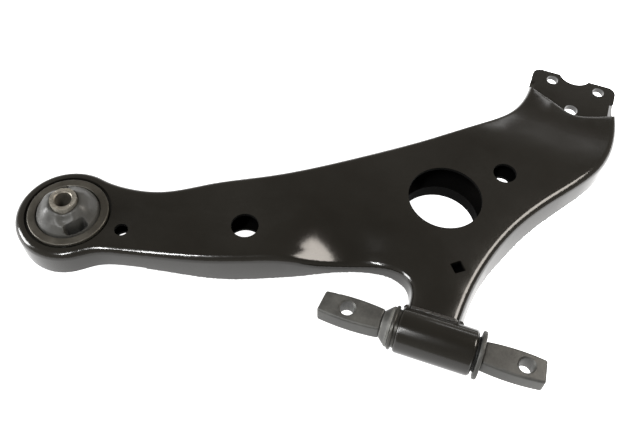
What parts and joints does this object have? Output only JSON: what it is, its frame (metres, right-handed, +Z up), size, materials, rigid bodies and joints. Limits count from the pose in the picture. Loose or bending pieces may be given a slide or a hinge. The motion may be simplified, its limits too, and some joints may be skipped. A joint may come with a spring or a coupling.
{
  "type": "suspension control arm",
  "caption": "Left front lower control arm: nested pressed shells, a vertical rear bush, a drilled ball-joint pad and a cross tube whose rubber bush carries a drilled bar pin.",
  "frame": {"origin": "on the rear bush bore's axis, level with the top plate of the arm", "axes": "+X forward from the rear bush to the bar pin, +Y outboard to the ball-joint pad, +Z up along the rear bush bore"},
  "size_m": [0.4952, 0.4027, 0.0812],
  "materials": {
    "black_paint": "satin black dip coat",
    "painted_weld": "rippled bead under black dip coat",
    "bush_steel": "dark phosphate",
    "sleeve_steel": "machined, dull",
    "rubber": "moulded satin",
    "forged_steel": "grey phosphate on forged steel"
  },
  "bodies": {
    "arm": {"upper_shell": "black_paint", "lower_shell": "black_paint", "rear_eye_collar": "black_paint", "front_tube": "black_paint", "rear_eye_weld": "painted_weld", "seam_weld_rear": "painted_weld", "seam_weld_front": "painted_weld", "seam_weld_outer": "painted_weld", "tube_weld_top": "painted_weld", "tube_weld_bottom": "painted_weld", "tube_weld_rear": "painted_weld", "tube_weld_front": "painted_weld", "rear_bush_outer_sleeve": "bush_steel", "front_bush_sleeve": "bush_steel", "rear_bush_rubber": "rubber", "front_bush_rubber": "rubber"},
    "bar_pin": {"bar_pin": "forged_steel", "end_cup": "forged_steel", "stop_disc": "forged_steel"},
    "rear_sleeve": {"rear_bush_inner_sleeve": "sleeve_steel"}
  },
  "joints": [
    {"name": "front_bush_twist", "type": "hinge", "parent": "arm", "child": "bar_pin", "pos_m": [0.334, 0, -0.0055], "axis": [0.9989, 0, 0.0464], "range_deg": [-25, 25], "stiffness_Nm_per_rad": 90, "deforming": ["front_bush_rubber"]},
    {"name": "rear_bush_tilt", "type": "hinge", "parent": "arm", "child": "rear_sleeve", "pos_m": [0, 0, -0.021], "axis": [0.9989, 0, 0.0464], "range_deg": [-12, 12], "stiffness_Nm_per_rad": 60, "deforming": ["rear_bush_rubber"]}
  ]
}
